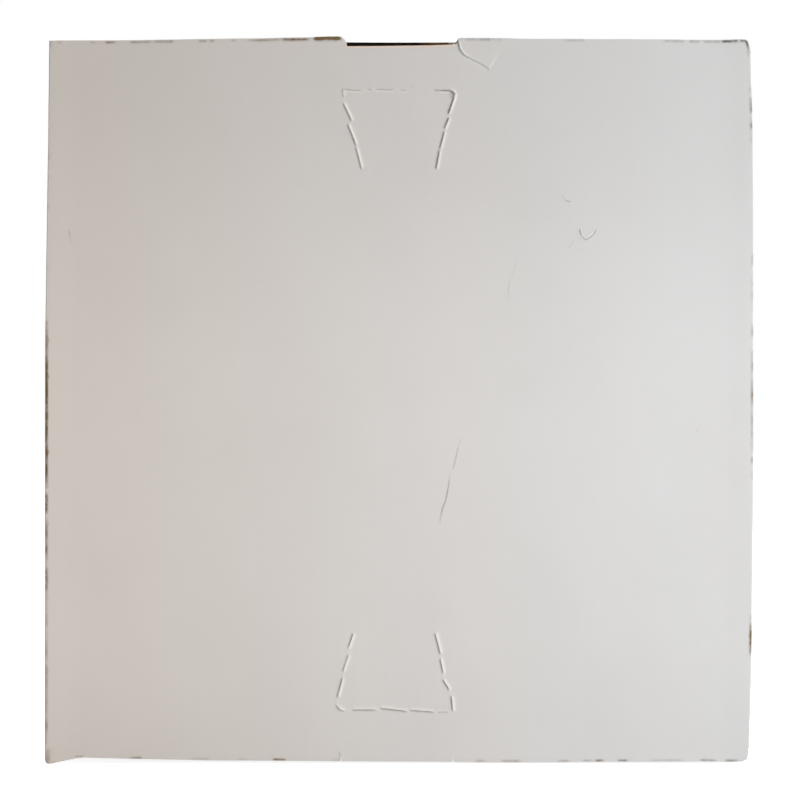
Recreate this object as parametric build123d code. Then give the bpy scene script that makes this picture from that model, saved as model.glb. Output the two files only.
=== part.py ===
from build123d import *
import os
from math import hypot, sqrt

# Game controller box: an upright tuck-end carton, die-cut and folded from one sheet of
# white-lined single-wall corrugated board, flutes upright. It stands on its closed bottom lid.
# +X is to the right of somebody facing the face panel, +Y runs from that panel to the back,
# +Z is up. The origin is under the middle of the carton, on the floor. Millimetres.

# Outside sizes of the folded carton
panel_width = 154.0
carton_depth = 72.0
panel_height = 158.0

# Board and folds
board = 1.6
corner_radius = 1.8
end_fold_radius = 1.3
lid_fold_inner_radius = 0.4

# Fits between the folded layers
layer_gap = 0.2
panel_gap = 0.3
seam_gap = 0.3

# Edges of the face panel, which is cut free at the top and at the bottom
lid_drop = 1.0
left_top_drop = 0.7
right_top_drop = 0.5
top_left_inset = 0.5
top_corner_cut_width = 0.7
top_corner_cut_height = 1.9
lower_corner_radius = 1.3
ear_width = 8.0
ear_drop = 1.2
ear_lean = 0.8
ear_lean_height = 3.6
lower_edge_rise = 0.4

# Thumb notch in the top edge, and the slits that end the matching cut at the bottom
notch_width = 24.4
notch_offset = 0.4
notch_depth = 1.9
notch_slope = 0.9
relief_slit_top = 2.6
relief_slit_width = 0.4

# Perforated dovetail knock-outs, one near each end of the face panel
dovetail_wide = 24.8
dovetail_narrow = 17.0
dovetail_height = 16.6
dovetail_edge_distance = 11.2
upper_dovetail_x = 0.2
lower_dovetail_x = -0.9
cut_length = 4.0
nick_length = 1.2
cut_width = 0.5

# Tear that runs down from the notch, and a curved dent
tear_run = 6.6
tear_fall = 6.0
tear_bow = 1.3
tear_width = 0.5
tear_depth = 0.5
dent_radius = 1.9
dent_width = 0.4
dent_depth = 0.3
dent_x = 41.0
dent_z = 114.5

# Lids with their tuck flaps
lid_inset = 1.3
tuck_length = 16.0
tuck_inset = 0.6
tuck_taper = 1.5
tuck_corner_radius = 7.0

# Dust flaps
dust_length = 40.0
dust_front_gap = 0.8
dust_back_gap = 0.6
dust_taper = 4.0
dust_corner_radius = 6.0

# Glue flap of the maker's joint
glue_flap_width = 14.0
glue_flap_taper = 5.0
glue_flap_end_gap = 2.0

# Places worked out from the sizes above
half_width = panel_width / 2
half_depth = carton_depth / 2
face_inside = half_depth - board
side_inside = half_width - board
top_lid_level = panel_height - lid_drop
wall_foot = board + layer_gap
wall_head = top_lid_level - board - layer_gap
hinge_y = half_depth - board / 2
swing_radius = hinge_y + face_inside - panel_gap
notch_left = notch_offset - notch_width / 2
notch_right = notch_offset + notch_width / 2
notch_floor = panel_height - notch_depth


def face_plane(distance):
    """The upright plane this far in front of the carton's middle, looking out of the face."""
    return Plane.XZ.offset(distance)


def prism(outline, plane, height):
    """The solid of this height over an outline given in a plane's own coordinates."""
    return extrude(plane * outline, amount=height)


def sleeve():
    """The four walls as one bent sheet. Rounded folds, square at the seam, worn round at the ends."""
    outer = Rectangle(panel_width, carton_depth)
    seam_corner = outer.vertices().filter_by(lambda v: v.X < 0 and v.Y > 0)
    outer = fillet(outer.vertices() - seam_corner, corner_radius)
    inner = Rectangle(panel_width - 2 * board, carton_depth - 2 * board)
    walls = extrude(Pos(0, 0, wall_foot) * (outer - inner), amount=wall_head - wall_foot)
    side_view = RectangleRounded(panel_width, wall_head - wall_foot, end_fold_radius)
    middle = (wall_head + wall_foot) / 2
    return walls & prism(Pos(0, middle) * side_view, face_plane(-half_depth), carton_depth - board)


def face_outline():
    """Front view of the face panel: uneven cut edges, an ear at lower left and a cut corner."""
    lower_right = (half_width - lower_corner_radius, lower_edge_rise)
    upper_right = (half_width - top_corner_cut_width, panel_height - right_top_drop)
    upper_left = (top_left_inset - half_width, panel_height - left_top_drop)
    right_of_notch = (notch_right + notch_slope, panel_height - right_top_drop / 2)
    ear_root = (ear_width - half_width, ear_drop)
    edges = [
        Line((ear_lean - half_width, 0), ear_root),
        ThreePointArc(ear_root, (ear_root[0] / 2, ear_drop * 2 / 3), lower_right),
        RadiusArc(lower_right, (half_width, lower_edge_rise + lower_corner_radius), -lower_corner_radius),
        Line(
            (half_width, lower_edge_rise + lower_corner_radius),
            (half_width, upper_right[1] - top_corner_cut_height),
        ),
        Line((half_width, upper_right[1] - top_corner_cut_height), upper_right),
        Line(upper_right, right_of_notch),
        Line(right_of_notch, (notch_right, notch_floor)),
        Line((notch_right, notch_floor), (notch_left, notch_floor)),
        Line((notch_left, notch_floor), (notch_left - notch_slope, panel_height)),
        Line((notch_left - notch_slope, panel_height), upper_left),
        Line(upper_left, (-half_width, ear_lean_height)),
        Line((-half_width, ear_lean_height), (ear_lean - half_width, 0)),
    ]
    return make_face(edges)


def perforation(start, end):
    """Cuts of equal length from start to end with a nick of uncut board between them."""
    length = hypot(end[0] - start[0], end[1] - start[1])
    count = max(1, round((length + nick_length) / (cut_length + nick_length)))
    pitch = (length + nick_length) / count
    along = ((end[0] - start[0]) / length, (end[1] - start[1]) / length)
    line = Line(start, end)
    slit = Rectangle(pitch - nick_length, cut_width)
    cuts = Sketch()
    for i in range(count):
        middle = pitch * i + (pitch - nick_length) / 2
        place = (start[0] + along[0] * middle, start[1] + along[1] * middle)
        cuts += Pos(*place) * Rot(0, 0, line.tangent_angle_at(0)) * slit
    return cuts


def dovetail(x, wide_z, narrow_z):
    """Two splayed sides and the wide end are perforated. The narrow end stays whole as the fold."""
    wide_left = (x - dovetail_wide / 2, wide_z)
    wide_right = (x + dovetail_wide / 2, wide_z)
    sides = perforation(wide_left, (x - dovetail_narrow / 2, narrow_z))
    sides += perforation(wide_right, (x + dovetail_narrow / 2, narrow_z))
    return sides + perforation(wide_left, wide_right)


def face_cuts():
    """Everything that the die cuts through the face panel."""
    lower_wide = dovetail_edge_distance
    upper_wide = panel_height - dovetail_edge_distance
    cuts = dovetail(upper_dovetail_x, upper_wide, upper_wide - dovetail_height)
    cuts += dovetail(lower_dovetail_x, lower_wide, lower_wide + dovetail_height)
    slit = Rectangle(relief_slit_width, 2 * relief_slit_top)
    return cuts + Pos(notch_left - notch_slope, 0) * slit + Pos(notch_right - notch_slope, 0) * slit


def face_marks():
    """Grooves pressed into the outside of the face panel: the tear and the curved dent."""
    tear_top = (notch_right, notch_floor + 2 * tear_width)
    tear_end = (notch_right + tear_run, notch_floor - tear_fall)
    tear = SagittaArc(tear_top, tear_end, -tear_bow)
    grooves = prism(trace(tear, tear_width), face_plane(half_depth - tear_depth), 2 * tear_depth)
    ring = CenterArc((dent_x, dent_z), dent_radius, 180, 180)
    bow = prism(trace(ring, dent_width), face_plane(half_depth - dent_depth), 2 * dent_depth)
    return grooves + bow


def face_panel():
    """The photographed panel, its long edges taken from the rounded folds of the sleeve."""
    sheet = prism(face_outline() - face_cuts(), face_plane(face_inside), board)
    plan = fillet(Rectangle(panel_width, carton_depth).vertices(), corner_radius)
    return (sheet & extrude(plan, amount=panel_height)) - face_marks()


def dust_flap():
    """Upper flap of the right-hand side panel, folded in under the lid."""
    front = dust_front_gap + board + panel_gap - face_inside
    back = face_inside - dust_back_gap
    tip = side_inside - dust_length
    outline = Polygon(
        (side_inside, front),
        (tip, front + dust_taper),
        (tip, back - dust_taper),
        (side_inside, back),
        align=None,
    )
    tips = outline.vertices().filter_by(lambda v: v.X < side_inside - board)
    return prism(fillet(tips, dust_corner_radius), Plane.XY.offset(wall_head - board), board)


def glue_flap():
    """Folded from the back panel and glued inside the left-hand side panel."""
    low = wall_foot + board + glue_flap_end_gap
    high = wall_head - board - glue_flap_end_gap
    tip = face_inside - glue_flap_width
    outline = Polygon(
        (face_inside, low),
        (face_inside, high),
        (tip, high - glue_flap_taper),
        (tip, low + glue_flap_taper),
        align=None,
    )
    return prism(outline, Plane.YZ.offset(-side_inside), board)


def seam():
    """Gap of the maker's joint, between the side panel's raw edge and the back panel's fold."""
    gap = Rectangle(seam_gap, board, align=(Align.MIN, Align.MIN))
    return extrude(Pos(-side_inside, face_inside) * gap, amount=panel_height)


def carton():
    """The folded sheet without its two lids."""
    flap = dust_flap()
    middle = Plane.XY.offset((wall_head + wall_foot) / 2)
    flaps = [flap, mirror(flap, about=Plane.YZ)]
    flaps += [mirror(f, about=middle) for f in flaps]
    return sleeve() + face_panel() + flaps + glue_flap() - seam()


def lid_profile():
    """Side view of a lid: round knuckle at the hinge, straight panel, leaning tuck flap.

    The origin is the hinge. x runs to the face panel and y into the carton.
    The tuck flap leans back so far that its tip clears the face panel as the lid swings.
    """
    tip_drop = tuck_length - board / 2
    tip_reach = sqrt(swing_radius**2 - tip_drop**2)
    lean_run = swing_radius - tip_reach
    lean_length = hypot(lean_run, tip_drop)
    across = (board / 2 * tip_drop / lean_length, board / 2 * lean_run / lean_length)
    corner = (swing_radius - board / 2, 0)
    tip = (tip_reach - across[0], tip_drop - across[1])
    path = FilletPolyline((0, 0), corner, tip, radius=lid_fold_inner_radius + board / 2)
    return trace(path, board) + Circle(board / 2)


def lid_front_view():
    """Front view of a lid, y into the carton: full width over the panel, tuck flap tapered."""
    lid_half = half_width - lid_inset
    tuck_half = side_inside - tuck_inset
    outline = Polygon(
        (-lid_half, -board / 2),
        (lid_half, -board / 2),
        (lid_half, board / 2),
        (tuck_half, board / 2),
        (tuck_half - tuck_taper, tuck_length),
        (tuck_taper - tuck_half, tuck_length),
        (-tuck_half, board / 2),
        (-lid_half, board / 2),
        align=None,
    )
    tips = outline.vertices().filter_by(lambda v: v.Y > board)
    return fillet(tips, tuck_corner_radius)


def bottom_lid():
    """Closure panel and tuck flap at the foot, hinged on the back panel."""
    side = Plane(origin=(0, hinge_y, board / 2), x_dir=(0, -1, 0), z_dir=(-1, 0, 0))
    front = Plane(origin=(0, half_depth, board / 2), x_dir=(1, 0, 0), z_dir=(0, -1, 0))
    swept = extrude(side * lid_profile(), amount=half_width, both=True)
    return swept & prism(lid_front_view(), front, carton_depth)


def top_lid():
    """The same at the head of the carton."""
    return mirror(bottom_lid(), about=Plane.XY.offset(top_lid_level / 2))


if __name__ == "__main__":
    os.makedirs("parts", exist_ok=True)
    export_step(carton(), "parts/carton.step")
    export_step(top_lid(), "parts/top_lid.step")
    export_step(bottom_lid(), "parts/bottom_lid.step")
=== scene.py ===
import math
from itertools import combinations

import bpy
import numpy as np
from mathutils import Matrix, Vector, geometry, kdtree


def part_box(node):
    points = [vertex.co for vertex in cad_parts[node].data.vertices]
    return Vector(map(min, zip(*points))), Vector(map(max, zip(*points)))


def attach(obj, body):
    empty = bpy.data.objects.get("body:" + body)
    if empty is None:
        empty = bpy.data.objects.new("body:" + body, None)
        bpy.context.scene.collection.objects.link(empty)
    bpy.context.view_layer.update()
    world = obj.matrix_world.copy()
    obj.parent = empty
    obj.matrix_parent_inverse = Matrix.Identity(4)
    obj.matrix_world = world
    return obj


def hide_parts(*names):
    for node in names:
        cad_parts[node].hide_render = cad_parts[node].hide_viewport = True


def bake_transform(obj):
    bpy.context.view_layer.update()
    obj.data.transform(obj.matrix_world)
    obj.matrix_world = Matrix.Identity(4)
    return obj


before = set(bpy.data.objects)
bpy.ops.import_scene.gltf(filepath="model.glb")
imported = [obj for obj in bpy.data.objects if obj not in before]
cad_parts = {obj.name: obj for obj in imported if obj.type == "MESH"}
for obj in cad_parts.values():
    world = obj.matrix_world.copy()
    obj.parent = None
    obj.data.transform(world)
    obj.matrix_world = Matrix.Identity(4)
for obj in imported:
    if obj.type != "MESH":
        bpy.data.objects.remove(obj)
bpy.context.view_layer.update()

bl_info = {
    "name": "Game Controller Box",
    "version": (1, 0, 0),
    "blender": (4, 5, 0),
    "location": "View3D > Sidebar > Carton",
    "description": "Folds a white-lined corrugated carton with lids, cut edges, wear and studio",
    "category": "Object",
}

MM = 0.001
CARTON_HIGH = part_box("carton")[1]

# Places in the flat sheet, in millimetres. u runs round the carton from the seam at the
# back left corner, over the left side, the face, the right side and the back to the glue flap.
HALF_WIDTH = CARTON_HIGH.x / MM
HALF_DEPTH = CARTON_HIGH.y / MM
BOARD = 1.6
FOLD = 0.25
QUARTER = FOLD * math.pi / 2
LEFT_END = 2 * HALF_DEPTH - FOLD
FACE_START = LEFT_END + QUARTER
FACE_END = FACE_START + 2 * (HALF_WIDTH - FOLD)
RIGHT_START = FACE_END + QUARTER
RIGHT_END = RIGHT_START + 2 * (HALF_DEPTH - FOLD)
BACK_START = RIGHT_END + QUARTER
BACK_END = BACK_START + 2 * HALF_WIDTH - 2 * FOLD - BOARD
GLUE_START = BACK_END + QUARTER
GLUE_END = GLUE_START + 14
FACE_MIDDLE = (FACE_START + FACE_END) / 2

# Heights of the walls and the face, and how far the foot is pushed up at the face
FACE_TOP = 158
WALL_HEAD = 155.2
WALL_FOOT = 1.8
FOOT_PUSH = 1.4

# Dust flaps: radius of their fold, run from the fold to the tip, taper and corner radius
FLAP_FOLD = 1.7
FLAP_RUN = 39.9
FLAP_TAPER = 4
FLAP_CORNER = 6
TIP_LOW = WALL_FOOT + FLAP_FOLD * (1 - math.pi / 2) - FLAP_RUN + 0.7
TIP_HIGH = WALL_HEAD - FLAP_FOLD * (1 - math.pi / 2) + FLAP_RUN
FLAP_LOW, FLAP_HIGH = -40, 198

# Lids: the rounded hinge, the flat panel, the crest of the fold and the tuck flap
KNUCKLE = BOARD / 2
HINGE_Y = HALF_DEPTH - KNUCKLE
LID_LEVEL = 157.0
LID_HALF = HALF_WIDTH - 1.3
LID_REACH = 76
LID_FLAT = 67.16
CREST = 2.0
TUCK_TURN = math.radians(96.34)
TUCK_RUN = 13.86
TUCK_HALF = HALF_WIDTH - 2.2
TUCK_TAPER = 1.5
TUCK_CORNER = 7
LID_ARC = KNUCKLE * math.pi / 2
CREST_START = LID_ARC + LID_FLAT
CREST_MIDDLE = CREST_START + CREST * TUCK_TURN / 2
CREST_END = CREST_START + CREST * TUCK_TURN
LID_TIP = CREST_END + TUCK_RUN

# Hinge liners: the line that they follow, as distance in from the back and height, then the
# arc round the hinge, then distance in from the hinge and height; the brown layer behind them
LINER_FOOT = ((0.25, -3.0), (0.12, -2.3), (0.05, -1.7), (0.012, -1.2), (0.008, -0.6))
LINER_ARC = 0.795
LINER_HEAD = ((0.3, 0.785), (0.6, 0.74), (1.1, 0.6))
LINER_BEHIND = 0.12
LINER_HALF = HALF_WIDTH - 2.4
LINER_COLUMNS = 271
LINER_WEAR = 0.22

# How far the fluting lies back from a cut edge, on the outline and in a slit
OUTLINE_SINK = 0.45
SLIT_SINK = 0.12
# Strips of fluting in the cut edges: nearest and farthest from the edge, half thickness
RIBBON_NEAR = 0.1
RIBBON_FAR = 0.6
RIBBON_HALF = 0.07

# Cuts that stay open in the face: x, z of each end, half width, height of the lip on their
# right or upper side. A lip below 0 stands on the other side.
UPPER_CUTS = (
    ((-12.35, 146.4), (-12.25, 145.1), 0.028, 0.06),
    ((-12.09, 143.24), (-10.45, 139.76), 0.044, 0.17),
    ((-11.09, 138.57), (-9.48, 134.52), 0.044, 0.17),
    ((-9.35, 133.57), (-8.3, 129.57), 0.044, 0.15), ((11.28, 146.12), (12.14, 145.62), 0.1, 0.1),
    ((12.16, 145.42), (11.9, 144.6), 0.07, 0.12), ((11.85, 144.28), (10.82, 141.39), 0.06, 0.18),
    ((10.74, 140.0), (10.0, 138.2), 0.044, 0.17), ((9.8, 137.0), (8.96, 133.8), 0.044, 0.16),
    ((8.76, 132.95), (8.13, 129.5), 0.044, 0.17), ((-12.1, 146.45), (-8.3, 146.12), 0.025, -0.05),
    ((-7.0, 146.4), (-5.9, 146.4), 0.025, -0.04), ((-5.0, 146.42), (-1.41, 146.3), 0.025, -0.06),
    ((0.25, 146.35), (1.55, 146.1), 0.025, -0.05), ((8.05, 146.28), (8.7, 146.22), 0.025, -0.05),
    ((8.95, 146.2), (11.1, 146.16), 0.033, -0.09),
)
LOWER_CUTS = (
    ((-10.0, 28.15), (-10.93, 25.4), 0.033, 0.15), ((-11.05, 23.5), (-12.1, 20.35), 0.025, 0.12),
    ((-12.35, 18.45), (-13.3, 14.75), 0.039, 0.15), ((-13.6, 12.7), (-12.95, 11.95), 0.028, 0.1),
    ((-12.9, 11.85), (-11.95, 11.5), 0.028, 0.1), ((-9.85, 11.75), (-5.05, 11.75), 0.039, 0.14),
    ((-3.8, 12.1), (1.6, 11.45), 0.039, 0.14), ((2.6, 11.68), (7.4, 11.3), 0.033, 0.13),
    ((8.5, 11.28), (10.75, 11.28), 0.025, 0.05), ((7.95, 28.15), (8.98, 24.1), 0.044, 0.17),
    ((9.05, 22.6), (9.62, 19.95), 0.044, 0.17), ((9.72, 18.15), (10.9, 16.3), 0.039, 0.18),
    ((11.48, 14.5), (11.78, 11.7), 0.044, 0.16),
)
CUTS = UPPER_CUTS + LOWER_CUTS
# Reach of a cut's lip, reach and share of the lower lip on its other side
LIP_REACH = 0.7
LOW_LIP_REACH = 0.34
LOW_LIP_SHARE = 0.75
# Lengths between which a gap between two cuts is a nick of uncut board
NICK_LEAST, NICK_MOST = 0.3, 2.2
# Cuts of the upper knock-out are bruised brown from this x on
BRUISED_FROM = 7
# Brown, bruised spots at the upper right corner of the knock-out: x, z, radius, strength
HOOK = (
    (11.5, 145.8, 0.36, 0.55), (11.95, 145.45, 0.4, 0.75), (11.85, 144.9, 0.34, 0.5),
    (11.35, 142.9, 0.3, 0.5), (11.0, 141.9, 0.3, 0.6),
)
# Tear below the notch, from the notch's right end
TEAR = (
    (12.9, 157.0), (13.15, 156.1), (13.35, 155.2), (14.3, 153.9), (16.4, 152.75), (17.9, 152.0),
    (19.5, 151.0),
)
# A dent like a fingernail's, as points from its left end
CRESCENT = (
    (39.15, 116.0), (39.2, 115.5), (39.35, 114.95), (39.67, 114.3), (40.26, 113.89),
    (40.84, 113.97), (41.6, 114.56), (42.2, 115.15), (42.6, 115.85),
)
# Pressed marks: points, half width, depth of the groove, height of its rim
DENTS = (
    (CRESCENT, 0.14, 0.08, 0.05), (((36.2, 122.3), (37.2, 122.0)), 0.14, 0.05, 0.02),
    (((36.8, 112.2), (37.9, 113.6)), 0.12, 0.03, 0.01),
    (((2.5, 146.95), (3.3, 146.7)), 0.16, 0.05, 0.03),
    (((20.5, 151.1), (21.95, 151.2)), 0.12, 0.03, 0.03),
)
# Shallow hollows pressed into the face: x, z, half width, half height, depth
HOLLOWS = (
    (-17.5, 138.0, 2.6, 3.6, 0.035), (-13.6, 134.2, 1.4, 2.6, 0.03), (-19.8, 143.2, 2.0, 1.6, 0.02),
    (5.0, 145.2, 2.6, 0.8, 0.04), (-32.0, 102.0, 0.5, 8.0, 0.012), (36.0, 8.0, 6.0, 4.0, 0.03),
)
# Dark scratches: points, half width, strength
SCRATCHES = (
    (((13.35, 70.0), (12.85, 68.7)), 0.11, 0.18), (((12.83, 68.6), (11.79, 64.1)), 0.12, 0.46),
    (((10.83, 60.8), (10.13, 57.2), (9.44, 55.5)), 0.14, 0.62), (CRESCENT, 0.1, 0.5),
    (((39.15, 115.9), (39.3, 115.1)), 0.13, 0.75), (((36.3, 122.25), (37.1, 122.05)), 0.14, 0.45),
    (((36.8, 112.2), (37.9, 113.6)), 0.1, 0.18), (((25.3, 108.3), (25.1, 107.6)), 0.12, 0.18),
    (((23.9, 104.4), (23.8, 103.6)), 0.12, 0.2), (((-72.0, 115.2), (-71.95, 115.0)), 0.14, 0.4),
    (((64.7, 72.5), (64.85, 72.45)), 0.14, 0.35), (((-70.2, 1.7), (-68.6, 1.75)), 0.12, 0.6),
)
# How far the carton's sides draw in, as height and distance
LEFT_DRAW = (
    (0, 0.03), (5, 0.08), (51, 0.1), (90, 0.14), (96, 0.19), (103, 0.32), (109, 0.37), (116, 0.5),
    (122, 0.57), (129, 0.67), (135, 0.8), (142, 0.85), (148, 0.93), (155, 1.0), (158, 1.02),
)
RIGHT_DRAW = (
    (0, 1.12), (5, 0.93), (12, 0.68), (18, 0.54), (25, 0.4), (38, 0.27), (51, 0.14), (57, 0.06),
    (64, 0.03), (70, 0.02), (96, 0.02), (103, 0.0), (116, 0.0), (129, 0.06), (135, 0.16),
    (142, 0.26), (148, 0.5), (155, 0.62), (158, 0.66),
)
# Rubbed places: middle, half length, strength. Along the top and the foot the middle is x, on
# the sides it is z.
TOP_RUBS = (
    (-74.7, 0.5, 0.3), (-67.2, 0.8, 0.32), (-63.5, 1.1, 0.68), (-56.8, 2.3, 0.5), (-51.8, 2.1, 0.6),
    (-43.2, 0.9, 0.5), (-41.2, 0.5, 0.55), (-36.4, 0.5, 0.35), (-29.7, 3.4, 0.55),
    (-22.8, 3.0, 0.95), (-15.8, 2.8, 1.8),
)
# Painted shade along the top edge, in the same columns as the rubbed places
TOP_EDGE_SHADES = (
    (16.2, 1.6, 0.35), (18.8, 1.2, 0.5), (21.4, 1.0, 0.25), (38.3, 2.2, 0.28), (60.2, 2.2, 0.42),
    (64.7, 1.1, 0.62), (68.6, 1.9, 0.5), (72.4, 1.7, 1.25), (75.6, 0.9, 1.1),
)
FOOT_RUBS = (
    (-57.2, 1.2, 0.55), (-43.2, 1.8, 0.28), (-34, 0.9, 0.2), (-26, 1.3, 0.75), (-13.6, 0.8, 0.2),
    (18, 1.0, 0.4), (24.6, 2.0, 0.38), (36.2, 1.2, 0.45), (41.6, 1.0, 0.4), (44.1, 0.9, 0.7),
    (49.2, 1.0, 0.7), (59, 3.4, 0.27), (68, 1.6, 0.5), (73.2, 1.3, 0.62),
)
LEFT_RUBS = (
    (156.4, 0.8, 0.2), (132, 0.8, 0.15), (121.2, 0.8, 0.12), (107.8, 0.7, 0.1), (95.4, 1.0, 0.4),
    (90.5, 3.6, 0.62), (78.5, 9.6, 1.02), (66.5, 5.0, 0.88), (61.3, 1.5, 0.66), (56.6, 1.8, 0.88),
    (52.2, 1.3, 0.45), (48.0, 3.4, 0.62), (43.4, 0.9, 0.2), (40.2, 2.2, 0.84), (35, 2.6, 0.28),
    (31.3, 1.0, 0.45), (28.6, 1.4, 0.2), (24.8, 2.6, 0.38), (18, 4.0, 0.42), (12.8, 1.8, 0.34),
    (10.4, 0.8, 0.25), (8.4, 1.2, 0.52), (5.6, 1.4, 0.2),
)
RIGHT_RUBS = (
    (146, 0.6, 0.2), (144, 0.8, 0.35), (142.3, 0.9, 0.55), (138.9, 0.8, 0.6), (136.4, 1.5, 0.15),
    (109.4, 0.8, 0.2), (104.2, 0.7, 0.18), (101.5, 1.4, 0.15), (93.8, 0.9, 0.36), (88.6, 0.7, 0.25),
    (86.6, 1.1, 0.32), (84, 1.4, 0.2), (80.3, 2.5, 0.5), (76.2, 0.9, 0.25), (73.2, 2.8, 0.38),
    (69, 1.5, 0.25), (66, 0.9, 0.45), (62.5, 0.7, 0.18), (31.2, 0.8, 0.2), (27.7, 2.4, 0.85),
    (24.6, 1.0, 0.42),
)
# The face's cut edges, as x from its middle and z: the foot from the left, the top from the right
FACE_FOOT = (
    (-76.72, 0.3), (-76.25, 0.04), (-75.7, 0.06), (-74.4, 0.33), (-70.2, 1.22), (-68.3, 1.38),
    (-62.8, 1.24), (-57.4, 1.08), (-52, 0.98), (-46.5, 0.89), (-41, 0.76), (-19.3, 0.64),
    (-12.68, 0.57), (-12.62, 2.75), (-12.5, 0.58), (0, 0.52), (11.8, 0.46), (11.87, 1.6),
    (11.96, 0.44), (18.7, 0.33), (35, 0.34), (40.4, 0.44), (56, 0.48), (66, 0.54), (73, 0.44),
    (75.6, 0.52), (76.35, 0.85), (76.7, 1.2),
)
FACE_HEAD = (
    (76.58, 156.4), (76.32, 157.02), (75.9, 157.3), (74.4, 157.36), (71.8, 157.27), (69.2, 157.23),
    (63.8, 157.25), (58.6, 157.34), (53.3, 157.36), (50.7, 157.4), (42.7, 157.4), (40, 157.45),
    (27, 157.47), (24.4, 157.56), (21.8, 157.6), (19.2, 157.64), (13.5, 157.66), (13.0, 157.5),
    (12.65, 156.9), (12.25, 156.45), (11.8, 156.2), (6.8, 156.03), (0.3, 155.95), (-5.7, 155.87),
    (-11.45, 155.85), (-11.5, 156.35), (-11.75, 156.95), (-12.4, 157.7), (-12.82, 157.97),
    (-15.3, 157.97), (-18, 157.9), (-20.5, 157.76), (-25.8, 157.72), (-28.4, 157.62), (-31, 157.55),
    (-36.2, 157.52), (-41.4, 157.43), (-46.7, 157.36), (-52, 157.27), (-57, 157.18),
    (-62.5, 157.12), (-75, 157.1),
)
# Where the sheet gets closer points: from u, to u, from v, to v, step along u, step along v
FACE_ZONES = (
    (FACE_MIDDLE - 15.5, FACE_MIDDLE + 14.5, 127.5, 148.5, 0.3, 0.5),
    (FACE_MIDDLE - 15.5, FACE_MIDDLE + 14.5, 9.8, 30, 0.3, 0.5),
    (FACE_MIDDLE - 22, FACE_MIDDLE + 24, 149, FACE_TOP, 0.3, 0.4),
    (FACE_MIDDLE + 37, FACE_MIDDLE + 45, 111, 124, 0.25, 0.3),
    (FACE_MIDDLE - 24, FACE_MIDDLE - 15.6, 128, 146, 0.6, 0.8),
)
FOLD_ZONES = (
    (LEFT_END - 0.9, FACE_START + 0.8, 0, FACE_TOP, 0.13, 1.1),
    (FACE_END - 0.8, RIGHT_START + 0.9, 0, FACE_TOP, 0.13, 1.1),
    (RIGHT_END - 0.7, BACK_START + 0.7, 0, FACE_TOP, 0.13, 1.1),
    (BACK_END - 0.7, GLUE_START + 0.7, 0, FACE_TOP, 0.16, 1.1),
    (1, LEFT_END - 1, WALL_HEAD - 2, WALL_HEAD + 1.5, 1.0, 0.3),
    (RIGHT_START + 1, RIGHT_END - 1, WALL_HEAD - 2, WALL_HEAD + 1.5, 1.0, 0.3),
    (1, LEFT_END - 1, 0.5, 6, 1.0, 0.3),
    (RIGHT_START + 1, RIGHT_END - 1, 0.5, 6, 1.0, 0.3),
)
# Rows of points inside the outline, in millimetres, and beside the face's lines, in half widths
RIM_ROWS = (0.15, 0.3, 0.48, 0.68, 0.95, 1.3)
LINE_ROWS = (-4, -2.4, -1.4, 0, 1.4, 2.4, 4, 7)

# Kinds of marks on the white liner, each a layer of values on the mesh: wear, near-black painted
# shade with grime, torn liner, scratches with painted shadows and shade, and painted highlights
MARKS = ("wear", "soot_and_shade", "torn", "mark", "painted_highlight")

# Studio, in metres: name, place, size, power and colour of each light, and what they face
LIGHTS = (
    ("key", (0.80, -0.62, 0.14), 0.27, 8.9, (1, 1, 1)),
    ("fill", (-1.0, -1.2, 0.5), 0.9, 2.25, (1.0, 0.96, 0.92)),
    ("back", (-0.7, 1.3, 0.7), 1.0, 12, (1, 1, 1)),
)
LIGHTS_FACE = (0, 0, 0.08)
FLOOR_HALF = 6.0
FLOOR_GLOW = 0.88
WORLD_LIGHT = 0.255
CAMERA_PLACE = (0.000217, -1.036, 0.07903)
CAMERA_SENSOR = 36.0
CAMERA_LENS = 207.3


def sizes():
    """The sizes that a user may change."""
    return bpy.context.scene.carton_sizes


def finishes():
    """The colours that a user may change."""
    return bpy.context.scene.carton_finishes


class CartonSizes(bpy.types.PropertyGroup):
    """Sizes of the board and of its cut edges."""

    board: bpy.props.FloatProperty(
        name="Board", description="Thickness of the corrugated board",
        default=0.0016, unit="LENGTH", precision=5)
    liner: bpy.props.FloatProperty(
        name="Liner", description="Thickness of each flat liner",
        default=0.00022, unit="LENGTH", precision=5)
    flute_pitch: bpy.props.FloatProperty(
        name="Flute pitch", description="Distance from one flute to the next",
        default=0.00341, unit="LENGTH", precision=5)
    flute_relief: bpy.props.FloatProperty(
        name="Flute relief", description="How far the flutes show through the liner",
        default=0.0000055, unit="LENGTH", precision=7)
    flute_lean: bpy.props.FloatProperty(
        name="Flute lean", description="Sideways run of the flutes for each unit of height",
        default=0.0181, precision=4)
    face_skin: bpy.props.FloatProperty(
        name="Face level", description="How far the face lies behind its raised lips",
        default=0.0002, unit="LENGTH", precision=5)
    unevenness: bpy.props.FloatProperty(
        name="Unevenness", description="Waviness of the flat panels",
        default=0.00003, unit="LENGTH", precision=6)


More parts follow.
